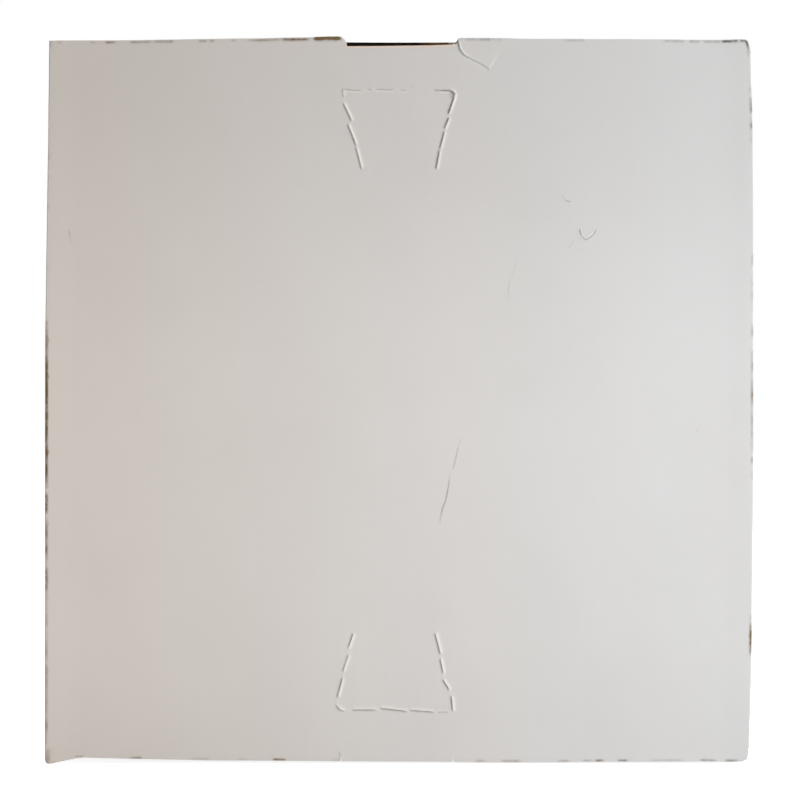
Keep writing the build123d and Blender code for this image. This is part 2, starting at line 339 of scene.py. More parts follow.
class CartonFinishes(bpy.types.PropertyGroup):
    """Colours of the liner, the brown board and the floor, with painted shade and highlights."""

    # Warmer and darker towards the left: yellowed liner, and painted shade for the light falling
    # off to the left
    liner_left_aged_and_shaded: bpy.props.FloatVectorProperty(
        name="Liner, left", description="Aged white liner towards the left",
        subtype="COLOR", size=3, default=(0.690, 0.632, 0.582))
    liner_right: bpy.props.FloatVectorProperty(
        name="Liner, right", description="White liner towards the right", subtype="COLOR", size=3,
        default=(0.715, 0.715, 0.715))
    kraft: bpy.props.FloatVectorProperty(
        name="Kraft", description="Brown inner liner", subtype="COLOR", size=3,
        default=(0.36, 0.225, 0.125))
    raw_edge: bpy.props.FloatVectorProperty(
        name="Raw edge", description="Cut edge and flutes", subtype="COLOR", size=3,
        default=(0.20, 0.115, 0.055))
    worn: bpy.props.FloatVectorProperty(
        name="Worn edge", description="Brown board under the rubbed liner", subtype="COLOR", size=3,
        default=(0.150, 0.098, 0.046))
    torn: bpy.props.FloatVectorProperty(
        name="Torn liner", description="Split liner along a cut", subtype="COLOR", size=3,
        default=(0.68, 0.565, 0.475))
    # Pale colour on lifted lips, the tear's raised flap and the nicks: painted highlight
    painted_highlight: bpy.props.FloatVectorProperty(
        name="Bare fibres", description="Clean fibres on lifted lips", subtype="COLOR", size=3,
        default=(0.83, 0.81, 0.76))
    # Near-black: painted shade of the gap behind the notch, with some grime
    soot_and_shade: bpy.props.FloatVectorProperty(
        name="Dark edge", description="Dark, dirty edge", subtype="COLOR", size=3,
        default=(0.012, 0.009, 0.006))
    # Dark colour for scratches and specks, also used for painted shadows beside the cuts and the
    # tear and for painted shade along the top edge and the right fold
    mark: bpy.props.FloatVectorProperty(
        name="Scratch", description="Dark scratches and specks", subtype="COLOR", size=3,
        default=(0.105, 0.100, 0.100))
    floor: bpy.props.FloatVectorProperty(
        name="Floor", description="Floor colour", subtype="COLOR", size=3,
        default=(0.80, 0.80, 0.80))


def smooth(t):
    """Eased step from 0 to 1."""
    t = np.clip(t, 0.0, 1.0)
    return t * t * (3 - 2 * t)


def bell(value, width, power=2):
    """1 where the value is 0, falling off over the width on both sides."""
    return np.exp(-((value / width) ** power))


def draw_in(x, z):
    """Sides of the carton drawn in a little at each height."""
    left = np.interp(z, *zip(*LEFT_DRAW))
    right = np.interp(z, *zip(*RIGHT_DRAW))
    return x * (1 - np.where(x < 0, left, right) / HALF_WIDTH)


def raised_foot(y):
    """How far the closed foot is pushed up, from nothing at the back to the most at the face."""
    return FOOT_PUSH * np.clip((HALF_DEPTH - y) / (2 * HALF_DEPTH), 0, 1)


def walk(u):
    """Plan position on the carton's outside at u, the outward direction and the mitre's."""
    w, d, r = HALF_WIDTH, HALF_DEPTH, FOLD
    stations = (
        (0.0, (-w, d), (0, -1)),
        (LEFT_END, (-w + r, -d + r), math.pi),
        (FACE_START, (-w + r, -d), (1, 0)),
        (FACE_END, (w - r, -d + r), 1.5 * math.pi),
        (RIGHT_START, (w, -d + r), (0, 1)),
        (RIGHT_END, (w - r, d - r), 0.0),
        (BACK_START, (w - r, d), (-1, 0)),
        (BACK_END, (-w + BOARD + r, d - r), 0.5 * math.pi),
        (GLUE_START, (-w + BOARD, d - r), (0, -1)),
    )
    out = np.zeros((6, len(u)))
    for i, (start, anchor, way) in enumerate(stations):
        end = stations[i + 1][0] if i + 1 < len(stations) else math.inf
        here = (u >= start) & (u < end) if i else u < end
        s = u[here] - start
        if isinstance(way, tuple):
            out[:, here] = np.array([
                anchor[0] + way[0] * s, anchor[1] + way[1] * s,
                s * 0 + way[1], s * 0 - way[0], s * 0 + way[1], s * 0 - way[0]])
        else:
            a = way + s / r
            c = way + math.pi / 4
            out[:, here] = np.array([
                anchor[0] + r * np.cos(a), anchor[1] + r * np.sin(a), np.cos(a), np.sin(a),
                s * 0 + math.sqrt(2) * math.cos(c), s * 0 + math.sqrt(2) * math.sin(c)])
    return out


def place_carton(u, v, d):
    """Point of the folded carton: u and v in the flat sheet, d below its outside."""
    x, y, nx, ny, mx, my = walk(u)
    side = np.maximum(
        smooth((u - 0.6) / 1.5) * smooth((LEFT_END - 0.6 - u) / 1.5),
        smooth((u - RIGHT_START - 0.6) / 1.5) * smooth((RIGHT_END - 0.1 - u) / 1.2),
    )
    head = WALL_HEAD - FLAP_FOLD
    foot = WALL_FOOT + FLAP_FOLD + raised_foot(y)
    over, under = v - head, foot - v
    s = np.maximum(np.maximum(over, under), 0)
    turn = np.clip(s / FLAP_FOLD, 0, math.pi / 2)
    folded = FLAP_FOLD - (FLAP_FOLD - d) * np.cos(turn) + s - turn * FLAP_FOLD
    folded = side * folded + (1 - side) * d
    rise = (FLAP_FOLD - d) * np.sin(turn)
    rise = np.where(s > 0, side * rise + (1 - side) * s, 0)
    z = np.where(over > 0, head + rise, np.where(under > 0, foot - rise, v))
    near, far = np.minimum(folded, FOLD), np.maximum(folded - FOLD, 0)
    x, y = x - nx * near - mx * far, y - ny * near - my * far
    return np.column_stack((draw_in(x, z), y, z)) * MM


def place_lid(u, v, d, top):
    """Point of a closed lid: u across, v from the hinge to the tip of the tuck flap."""
    at_hinge = v < LID_ARC
    a = np.clip(v / KNUCKLE, 0, math.pi / 2)
    b = np.clip((v - CREST_START) / CREST, 0, TUCK_TURN)
    depth = np.where(at_hinge, d * (0.5 + 0.5 * np.sin(a)), d)
    nr = np.where(at_hinge, -np.cos(a), np.sin(b))
    nh = np.where(at_hinge, np.sin(a), np.cos(b))
    beyond = np.maximum(v - CREST_END, 0)
    r = np.where(at_hinge, KNUCKLE * nr, np.minimum(v - LID_ARC, LID_FLAT) + CREST * nr)
    r = r + math.cos(TUCK_TURN) * beyond - nr * depth
    h = np.where(at_hinge, KNUCKLE * nh, KNUCKLE - CREST + CREST * nh)
    h = h - math.sin(TUCK_TURN) * beyond - nh * depth
    if top:
        y, z = HINGE_Y - r, LID_LEVEL - KNUCKLE + h
    else:
        tilt = FOOT_PUSH / (2 * HALF_DEPTH)
        r, h = r * math.cos(tilt) + h * math.sin(tilt), h * math.cos(tilt) - r * math.sin(tilt)
        y, z = HINGE_Y - r, KNUCKLE - h
    return np.column_stack((draw_in(u, z), y, z)) * MM


def place_top_lid(u, v, d):
    """Point of the top lid."""
    return place_lid(u, v, d, True)


def place_bottom_lid(u, v, d):
    """Point of the bottom lid."""
    return place_lid(u, v, d, False)


def resample(points, step, fine=None):
    """Closed outline with points at most this far apart, closer together on the face."""
    out = []
    for (x0, y0), (x1, y1) in zip(points, points[1:] + points[:1]):
        close = fine and FACE_START - 3 < (x0 + x1) / 2 < FACE_END + 3
        longest = fine if close else step
        count = max(1, math.ceil(math.hypot(x1 - x0, y1 - y0) / longest))
        out += [(x0 + (x1 - x0) * i / count, y0 + (y1 - y0) * i / count) for i in range(count)]
    return out


def along(points, step):
    """Points and unit directions at even steps on an open line."""
    pts = np.array(points, float)
    legs = np.diff(pts, axis=0)
    length = np.hypot(*legs.T)
    travel = np.concatenate(([0], np.cumsum(length)))
    s = np.linspace(0, travel[-1], max(2, int(math.ceil(travel[-1] / step)) + 1))
    at = np.column_stack((np.interp(s, travel, pts[:, 0]), np.interp(s, travel, pts[:, 1])))
    leg = np.clip(np.searchsorted(travel, s, side="right") - 1, 0, len(legs) - 1)
    return at, legs[leg] / length[leg][:, None]


def slit(a, b, half):
    """Narrow pointed cut from a to b, clockwise, so that the board is on its left."""
    at, way = along((a, b), 0.35)
    across = np.column_stack((way[:, 1], -way[:, 0]))
    t = np.linspace(0, 1, len(at))
    wide = half * np.minimum(1, np.minimum(t, 1 - t) * 6 + 0.15)[:, None]
    return [tuple(p) for p in at + across * wide][::-1] + [tuple(p) for p in at - across * wide]


def inward(loop):
    """Unit directions from each point of a loop into the board."""
    pts = np.array(loop, float)
    ahead = np.roll(pts, -1, 0) - pts
    behind = pts - np.roll(pts, 1, 0)
    ahead /= np.hypot(*ahead.T)[:, None]
    behind /= np.hypot(*behind.T)[:, None]
    way = ahead + behind
    way /= np.maximum(np.hypot(*way.T), 0.3)[:, None]
    return np.column_stack((-way[:, 1], way[:, 0]))


def enclosed(pts, loops):
    """Which points lie within the outline and in none of the cuts."""
    result = np.zeros(len(pts), bool)
    for loop in loops:
        ring = np.array(loop)
        for (x0, y0), (x1, y1) in zip(ring, np.roll(ring, -1, 0)):
            if y0 != y1:
                rows = (pts[:, 1] > y0) != (pts[:, 1] > y1)
                result ^= rows & (pts[:, 0] < x0 + (pts[:, 1] - y0) * (x1 - x0) / (y1 - y0))
    return result


def distances(points, loops):
    """Distance of each point from the nearest point of the loops."""
    ring = [p for loop in loops for p in loop]
    tree = kdtree.KDTree(len(ring))
    for i, p in enumerate(ring):
        tree.insert((p[0], p[1], 0), i)
    tree.balance()
    return np.array([tree.find((p[0], p[1], 0))[2] for p in points])


def free_points(points, loops, gap):
    """The points within the board that lie farther than this from every edge of it."""
    pts = np.array(points)
    pts = pts[distances(pts, loops) > gap]
    return [tuple(p) for p in pts[enclosed(pts, loops)]]


def triangles(loops, inner):
    """Triangles of the board between the loops, using the inner points as well."""
    points, edges = [], []
    for loop in loops:
        first = len(points)
        points += [Vector(p) for p in loop]
        edges += [(first + i, first + (i + 1) % len(loop)) for i in range(len(loop))]
    fixed = len(points)
    points += [Vector(p) for p in inner]
    verts, _, faces, origin, _, _ = geometry.delaunay_2d_cdt(points, edges, [], 0, 1e-6, True)
    if any(not o for o in origin):
        raise RuntimeError("two cuts of the sheet cross each other")
    flat = np.array([(p.x, p.y) for p in verts])
    index = np.zeros(len(points), int)
    for i, o in enumerate(origin):
        index[list(o)] = i
    tris = np.array([tuple(f) for f in faces])
    on_rim = np.zeros(len(flat), bool)
    on_rim[index[:fixed]] = True
    doubt = np.nonzero(on_rim[tris].all(1))[0]
    keep = np.ones(len(tris), bool)
    keep[doubt] = enclosed(flat[tris[doubt]].mean(1), loops)
    return flat, tris[keep], index[:fixed]


def lattice(u0, u1, v0, v1, du, dv):
    """Rows of points, each second row set off by half a step."""
    rows = np.arange(v0, v1, dv)
    cols = np.arange(u0, u1, du)
    return [(u + du / 2 * (j % 2), v) for j, v in enumerate(rows) for u in cols]


def strip(j, k, n, closed=False):
    """Four-sided faces between rows j and k of n points each, joined at the ends if closed."""
    steps = [(i, (i + 1) % n) for i in range(n if closed else n - 1)]
    return [(j * n + a, j * n + b, k * n + b, k * n + a) for a, b in steps]


def make_piece(name, verts, faces, used, kinds):
    """An object from blocks of points and faces, each face with its kind of the used finishes."""
    mesh = bpy.data.meshes.new(name)
    mesh.from_pydata(np.vstack(verts).tolist(), [], faces)
    for each in used:
        mesh.materials.append(finish(each))
    mesh.polygons.foreach_set("material_index", kinds)
    mesh.polygons.foreach_set("use_smooth", [used[k].endswith("_liner") for k in kinds])
    piece = bpy.data.objects.new(name, mesh)
    bpy.context.scene.collection.objects.link(piece)
    return piece


def write_marks(mesh, values):
    """Store every kind of mark on the mesh's first points, 0 where none is given."""
    for key in MARKS:
        full = np.zeros(len(mesh.vertices), np.float32)
        given = values.get(key, ())
        full[:len(given)] = given
        mesh.attributes.new(key, "FLOAT", "POINT").data.foreach_set("value", full)
    mesh.update()


def build_sheet(name, loops, outer_points, inner_points, place, relief, marks, body, node):
    """A board with two skins, cut edges with a sunken fluting between the liners, and its marks."""
    board, liner = sizes().board / MM, sizes().liner / MM
    flat, tris, rim = triangles(loops, outer_points)
    lift = relief(*flat.T)
    back, back_tris, _ = triangles(loops, inner_points)
    blocks = [
        (place(*flat.T, -lift), tris, 0),
        (place(*back.T, np.full(len(back), board)), back_tris[:, ::-1], 1),
    ]
    first = 0
    for loop in loops:
        n = len(loop)
        pts, way = np.array(loop, float), inward(loop)
        deep = OUTLINE_SINK if loop is loops[0] else SLIT_SINK
        top = -lift[rim[first:first + n]]
        rings = (
            (0, top), (0, top + liner), (deep, top + liner),
            (deep, board - liner), (0, board - liner), (0, board),
        )
        rows = [place(*(pts + way * inset).T, np.zeros(n) + depth) for inset, depth in rings]
        walls = [q[::-1] for j in range(len(rings) - 1) for q in strip(j, j + 1, n, True)]
        blocks.append((np.vstack(rows), walls, 2))
        first += n
    faces, kinds = [], []
    count = 0
    for points, some, kind in blocks:
        faces += (np.array(some) + count).tolist()
        kinds += [kind] * len(some)
        count += len(points)
    used = ("white_liner", "kraft_liner", "raw_edge")
    piece = make_piece(name, [block[0] for block in blocks], faces, used, kinds)
    write_marks(piece.data, marks(flat, distances(flat, loops[:1])))
    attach(piece, body)
    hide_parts(node)
    return piece


def flutes(u, v):
    """Faint ribs of the fluting under the liner."""
    size = sizes()
    pitch, relief = size.flute_pitch / MM, size.flute_relief / MM
    return relief * np.sin(2 * math.pi * (u - FACE_MIDDLE - size.flute_lean * v) / pitch)


def waves(u, v):
    """Slow unevenness of a handled board."""
    total = np.zeros_like(u)
    for a, b, phase, share in (
        (0.031, 0.012, 0.4, 1), (0.013, 0.043, 2.1, 1),
        (0.072, 0.033, 4.0, 0.5), (0.051, -0.061, 1.3, 0.5),
    ):
        total += share * np.sin(2 * math.pi * (a * u + b * v) + phase)
    return sizes().unevenness / MM * total / 2


def nicks():
    """Middles of the uncut bridges between neighbouring cuts."""
    ends = [(p, q) for one, other in combinations(CUTS, 2) for p in one[:2] for q in other[:2]]
    return [
        ((p[0] + q[0]) / 2, (p[1] + q[1]) / 2)
        for p, q in ends if NICK_LEAST < math.dist(p, q) < NICK_MOST
    ]


def beside(x, z, points):
    """Which side of a line each point lies on, its distance from it, and 1 between its ends."""
    best = np.full(len(x), math.inf)
    side = np.zeros(len(x))
    fade = np.zeros(len(x))
    for i, ((ax, az), (bx, bz)) in enumerate(zip(points, points[1:])):
        length = math.hypot(bx - ax, bz - az)
        wx, wz = (bx - ax) / length, (bz - az) / length
        t = (x - ax) * wx + (z - az) * wz
        tc = np.clip(t, 0, length)
        off = np.hypot(x - ax - tc * wx, z - az - tc * wz)
        closer = off < best
        best = np.where(closer, off, best)
        if abs(wz) > 0.3:
            right = ((x - ax) * wz - (z - az) * wx) * np.sign(wz)
        else:
            right = (z - az) - (x - ax) * wz / wx
        side = np.where(closer, np.sign(right), side)
        ends = 1 if i > 0 else smooth(1 + t / 0.4)
        ends = ends * (1 if i < len(points) - 2 else smooth(1 + (length - t) / 0.4))
        fade = np.where(closer, ends, fade)
    return side, best, fade


def face_relief(u, v):
    """Height of the carton's outside over its plain level, in millimetres."""
    x = u - FACE_MIDDLE
    total = flutes(u, v) + waves(u, v)
    for a, b, half, lip in CUTS:
        side, off, t = beside(x, v, (a, b))
        past = np.maximum(off - half, 0)
        high = np.clip(1 - past / LIP_REACH, 0, 1)
        low = LOW_LIP_SHARE * np.clip(1 - past / LOW_LIP_REACH, 0, 1)
        total += t * abs(lip) * np.where(side * lip > 0, high, low)
    for x0, z0 in nicks():
        total += 0.05 * bell(np.hypot(x - x0, v - z0), 0.4)
    side, off, t = beside(x, v, TEAR)
    total += t * np.where(side > 0, 0.18 * bell(off, 3.0, 1), -0.13 * bell(off, 0.7, 1))
    for points, half, deep, rim in DENTS:
        side, off, t = beside(x, v, points)
        total += t * (rim * bell(off - 2.2 * half, half) - deep * bell(off, half))
    for x0, z0, wide, tall, deep in HOLLOWS:
        total -= deep * bell(np.hypot((x - x0) / wide, (v - z0) / tall), 1)
    ease = smooth((u - FACE_START + 0.6) / 7) * smooth((FACE_END + 0.6 - u) / 7)
    base = 0.03 + (sizes().face_skin / MM - 0.03) * ease
    total *= 0.15 + 0.85 * ease
    return np.minimum(total, base - 0.005) - base


def rubs(value, places):
    """Strength of the rubbed places at each value, eased at their ends."""
    total = np.zeros(len(value))
    for middle, half, strength in places:
        near = smooth((1.25 * half - np.abs(value - middle)) / (0.5 * half))
        total = np.maximum(total, strength * near)
    return total


def span(value, low, high, soft):
    """1 from low to high, easing to 0 outside them."""
    return smooth(1 + (value - low) / soft) * smooth(1 + (high - value) / soft)


def carton_marks(flat, rim):
    """Wear, torn liner and scratches on the carton's outside, with near-black painted shade at the
    notch, painted shade along the top edge and the right fold, painted shadows along the cuts and
    the tear, and painted highlights on lips and nicks.
    """
    u, v = flat.T
    x = u - FACE_MIDDLE
    on_face = (u > FACE_START - 2) & (u < FACE_END + 2)
    top = (v > 150) & on_face
    low = (v < 6) & on_face
    in_notch = top & (x > -12.1) & (x < 12.9)
    edge = bell(rim, 0.3)

    strong = rubs(x, TOP_RUBS)
    head = strong * bell(rim - 0.47 + 0.06 * strong, 0.18 + 0.13 * strong)
    ear = span(v, 0.3, 3.4, 0.8) * (x < -74.5)
    foot = np.maximum(rubs(x, FOOT_RUBS) * bell(rim - 0.3, 0.24), 0.25 * ear * edge)
    wear = np.maximum.reduce((
        bell(u - FACE_START - 0.04, 0.42, 4) * rubs(v, LEFT_RUBS),
        bell(u - FACE_END - 0.02, 0.40, 4) * rubs(v, RIGHT_RUBS),
        bell(u - RIGHT_END - QUARTER / 2, 0.5, 4) * 0.3,
        np.where(top, head, np.where(low, foot, 0.4 * edge)),
        0.42 * span(v, 0.2, 2.6, 1.4) * bell(x + 76.4, 0.6) * (x < -74),
    ))
    wear = np.where(in_notch, 0, wear)
    for cx, cz, wide, strength in HOOK:
        wear = np.maximum(wear, strength * bell(np.hypot(x - cx, v - cz), wide, 4))

    # Near-black spot on the notch's right slope: painted shade of the gap behind it, with some
    # grime
    soot_and_shade = np.where(top, edge * span(x, 12.35, 12.95, 0.2), 0)
    torn = np.where(in_notch, 0.9 * bell(rim, 0.5, 4), 0)
    beyond = 0.45 * span(x, -27, -12.4, 1.5) * bell(rim - 1.0, 0.3)
    torn = np.maximum(torn, np.where(top, beyond, 0))

    # Painted shade along the top edge, and a thin line of painted shade along the right fold
    painted_edge_shade = np.where(top, rubs(x, TOP_EDGE_SHADES) * bell(rim - 0.36, 0.26), 0)
    mark = np.maximum(painted_edge_shade, 0.1 * bell(u - FACE_END - 0.2, 0.3, 4))
    for points, half, strength in SCRATCHES:
        _, off, t = beside(x, v, points)
        mark = np.maximum(mark, strength * t * bell(off, half))
    side, off, t = beside(x, v, TEAR)
    start = smooth((v - 152.4) / 2.4)
    # Painted shadow along the tear, darker and wider below and left of it, under the raised flap
    dark = np.where(side > 0, 0.16, 0.24 + 0.34 * start)
    mark = np.maximum(mark, t * dark * bell(off, 0.16 + 0.3 * start * (side <= 0)))
    # Painted highlight on the raised flap's edge beside the tear
    painted_highlight = np.where(side > 0, 0.9 * t * start * bell(off - 0.24, 0.16), 0)

    for a, b, half, lip in CUTS:
        side, off, t = beside(x, v, (a, b))
        raised = side * lip > 0
        # Painted shadow along each cut, wider on the side away from its lip
        dark = min(0.36, 2.4 * abs(lip)) * t * bell(off, np.where(raised, 0.1, 0.3), 4)
        mark = np.maximum(mark, dark)
        # Painted highlight on the side of each cut that carries its lip
        fibres = min(0.55, 4 * abs(lip)) * t * bell(off - half - 0.26, 0.24, 4)
        painted_highlight = np.maximum(painted_highlight, np.where(raised, fibres, 0))
        if (a, b, half, lip) in UPPER_CUTS and max(a[0], b[0]) > BRUISED_FROM:
            wear = np.maximum(wear, 0.35 * t * bell(off, 0.22))
    # Painted highlight on the nicks between cuts
    for x0, z0 in nicks():
        painted_highlight = np.maximum(painted_highlight, 0.2 * bell(np.hypot(x - x0, v - z0), 0.12 ** 0.5))
    return {"wear": wear, "soot_and_shade": soot_and_shade, "torn": torn, "mark": mark, "painted_highlight": painted_highlight}


def flap_outline(u0, u1, v0, v1, taper=FLAP_TAPER, radius=FLAP_CORNER):
    """Two sides and a rounded tip of a flap, from its root at v0 to its tip at v1, then back."""
    way = 1 if v1 > v0 else -1
    out = [(u0, v0)]
    for cx, start in ((u0 + taper + radius, math.pi), (u1 - taper - radius, math.pi / 2)):
        for t in (start - i * math.pi / 16 for i in range(9)):
            out.append((cx + radius * math.cos(t), v1 - way * radius + way * radius * math.sin(t)))
    return out + [(u1, v0)]


def shifted(start, *points):
    """Points moved along u."""
    return [(start + x, z) for x, z in points]


def carton_outline():
    """The flat carton without its lids, anticlockwise."""
    left, right = (3.2, LEFT_END - 2.5), (RIGHT_START + 2.5, RIGHT_END - 1.4)
    out = [(0.0, 2.3), (2.4, 2.1), (2.8, 3.6)] + flap_outline(*left, 2.6, TIP_LOW)
    out += shifted(LEFT_END, (-2.1, 4.9), (-1.7, 3.5), (-0.25, 3.5), (-0.05, 4.9))
    out += shifted(LEFT_END, (0.06, 3.7), (0.1, 2.0), (0.16, 0.9))
    out += shifted(FACE_MIDDLE, *FACE_FOOT)
    out += shifted(FACE_END, (0.1, 2.2), (0.18, 3.8))
    out += shifted(RIGHT_START, (0.05, 4.9), (0.25, 3.5), (1.7, 3.5), (2.1, 4.9))
    out += flap_outline(*right, 2.6, TIP_LOW)
    out += shifted(RIGHT_END, (-1.1, 3.6), (-0.7, 2.1))
    out += [(BACK_START, WALL_FOOT), (BACK_END, WALL_FOOT)]
    out += shifted(GLUE_START, (-0.3, 2.6), (0, 5.4), (14, 10.4))
    out += shifted(GLUE_START, (14, 146.6), (0, 151.6), (-0.3, 154.4))
    out += [(BACK_END, WALL_HEAD), (BACK_START, WALL_HEAD)]
    out += shifted(RIGHT_END, (-0.7, 154.9), (-1.1, 153.4))
    out += flap_outline(*right, 154.4, TIP_HIGH)[::-1]
    out += shifted(RIGHT_START, (2.1, 153.4), (1.7, 154.9), (0.25, 154.9), (0.05, 153.2))
    out += shifted(FACE_END, (0.22, 154.2), (0.15, 155.3))
    out += shifted(FACE_MIDDLE, *FACE_HEAD)
    out += shifted(LEFT_END, (0.14, 157.02), (0.1, 154.6), (-0.05, 153.2), (-0.25, 154.9))
    out += shifted(LEFT_END, (-1.7, 154.9), (-2.1, 153.4))
    out += flap_outline(*left, 154.4, TIP_HIGH)[::-1]
    return out + [(2.8, 153.4), (2.4, 154.9), (0.0, 154.7)]


class OBJECT_OT_fold_carton(bpy.types.Operator):
    """Fold the four walls, the dust flaps and the glue flap from one board"""

    bl_idname = "object.fold_carton"
    bl_label = "Fold carton"

    def execute(self, context):
        outline = resample(carton_outline(), 0.8, 0.35)
        loops = [outline]
        loops += [slit(*shifted(FACE_MIDDLE, a, b), half) for a, b, half, _ in CUTS]
        fine = []
        for inset in RIM_ROWS:
            fine += [tuple(p) for p in np.array(outline) + inward(outline) * inset]
        # A cut and the tear get no points on their own line.
        lines = [((a, b), 0.1) for a, b, _, _ in CUTS] + [(TEAR, 0.1)]
        lines += [line[:2] for line in DENTS + SCRATCHES]
        for points, wide in lines:
            at, way = along(shifted(FACE_MIDDLE, *points), 0.3)
            across = np.column_stack((way[:, 1], -way[:, 0]))
            for off in LINE_ROWS:
                if off or wide != 0.1:
                    fine += [tuple(p) for p in at + across * off * wide]
        plain = lattice(FACE_START, FACE_END, 0, FACE_TOP, 0.57, 4.0)
        plain += lattice(0.2, LEFT_END, FLAP_LOW, FLAP_HIGH, 0.85, 6.0)
        plain += lattice(RIGHT_START, GLUE_END, FLAP_LOW, FLAP_HIGH, 0.85, 6.0)
        for u0, u1, v0, v1, du, dv in FACE_ZONES + FOLD_ZONES:
            plain = [p for p in plain if not (u0 <= p[0] <= u1 and v0 <= p[1] <= v1)]
            fine += lattice(u0 + 0.03, u1, v0 + 0.03, v1, du, dv)
        outer = free_points(plain, loops, 0.3) + free_points(fine, loops, 0.1)
        coarse = lattice(0.2, GLUE_END, FLAP_LOW, FLAP_HIGH, 3.0, 5.0)
        folds = [p for *zone, du, dv in FOLD_ZONES for p in lattice(*zone, du * 1.6, dv * 1.2)]
        inner = free_points(coarse, loops, 0.6) + free_points(folds, loops, 0.4)
        build_sheet(
            "carton_board", loops, outer, inner, place_carton, face_relief, carton_marks,
            "carton", "carton")
        return {"FINISHED"}


def lid_outline():
    """The flat lid with its tuck flap, anticlockwise, from the hinge to the tip."""
    root = CREST_MIDDLE + 0.3
    flap = flap_outline(-TUCK_HALF, TUCK_HALF, root, LID_TIP, TUCK_TAPER, TUCK_CORNER)
    out = [(-LID_HALF, 0.0), (LID_HALF, 0.0), (LID_HALF, CREST_MIDDLE), *flap[::-1]]
    return out + [(-LID_HALF, CREST_MIDDLE)]


def lid_relief(u, v):
    """Height of a lid's outside, let in at the hinge for the liner that crosses it."""
    uneven = np.minimum(flutes(u, v * 0) + waves(u + 30, v) - 0.03, -0.002)
    let_in = 0.06 * smooth((LID_ARC + 0.6 - v) / 0.4)
    return uneven * smooth((v - LID_ARC) / 4) - let_in - 0.002


def foot_marks(flat, rim, crest=0.6):
    """Wear of the bottom lid's edges, and of its crest by the given strength."""
    return {"wear": np.maximum(0.5 * bell(rim, 0.3), crest * bell(flat[:, 1] - CREST_MIDDLE, 0.8))}


def top_marks(flat, rim):
    """Wear of the top lid, and the dark crest that shows in the notch: painted shade of the gap
    behind the notch, with some grime.
    """
    u, v = flat.T
    # Near-black crest seen through the notch: painted shade of the gap, with some grime, lighter to
    # the right
    soot_and_shade = span(v, CREST_MIDDLE - 1.3, CREST_MIDDLE + 0.9, 0.5) * span(u, -13.2, 10.6, 1.6)
    return {**foot_marks(flat, rim, 0.5), "soot_and_shade": soot_and_shade * (1 - 0.42 * smooth((u - 1) / 9))}


def bare_hinge(mesh):
    """Show the brown inner liner on the part of a lid that turns inward when it opens."""
    for face in mesh.polygons:
        if face.material_index == 0 and face.center.y > (HINGE_Y + 0.05) * MM:
            face.material_index = 1


def darken(mesh):
    """Give the part of the crest with painted shade and grime its own dull finish."""
    mesh.materials.append(finish("shaded_dirty_crest"))
    soot_and_shade = np.zeros(len(mesh.vertices), np.float32)
    mesh.attributes["soot_and_shade"].data.foreach_get("value", soot_and_shade)
    for face in mesh.polygons:
        if face.material_index == 0 and soot_and_shade[list(face.vertices)].min() > 0.5:
            face.material_index = len(mesh.materials) - 1


class OBJECT_OT_fold_lids(bpy.types.Operator):
    """Fold the lid at the head and the lid at the foot, each with its tuck flap"""

    bl_idname = "object.fold_lids"
    bl_label = "Fold lids"

    def execute(self, context):
        outline = resample(lid_outline(), 0.5)
        loops = [outline]
        fine = [tuple(p) for p in np.array(outline) + inward(outline) * 0.28]
        fine += lattice(-LID_REACH, LID_REACH, 0.05, 2.2, 0.8, 0.2)
        fine += lattice(-LID_REACH, LID_REACH, CREST_START - 0.8, CREST_START + 4.2, 0.7, 0.25)
        plain = [
            p for p in lattice(-LID_REACH, LID_REACH, 0, LID_TIP, 0.57, 4.0)
            if p[1] > 2.4 and not CREST_START - 1 < p[1] < CREST_START + 4.4
        ]
        outer = free_points(fine, loops, 0.12) + free_points(plain, loops, 0.35)
        inner = lattice(-LID_REACH, LID_REACH, 0, LID_TIP, 3.0, 5.0)
        inner += lattice(-LID_REACH, LID_REACH, CREST_START - 0.8, CREST_START + 4.2, 2.0, 0.35)
        inner += lattice(-LID_REACH, LID_REACH, 0.05, 2, 2.0, 0.3)
        inner = free_points(inner, loops, 0.3)
        for name, place, marks in (
            ("top_lid", place_top_lid, top_marks),
            ("bottom_lid", place_bottom_lid, foot_marks),
        ):
            piece = build_sheet(
                name + "_board", loops, outer, inner, place, lid_relief, marks, name, name)
            bare_hinge(piece.data)
            if name == "top_lid":
                darken(piece.data)
            else:
                piece.data.flip_normals()
        return {"FINISHED"}


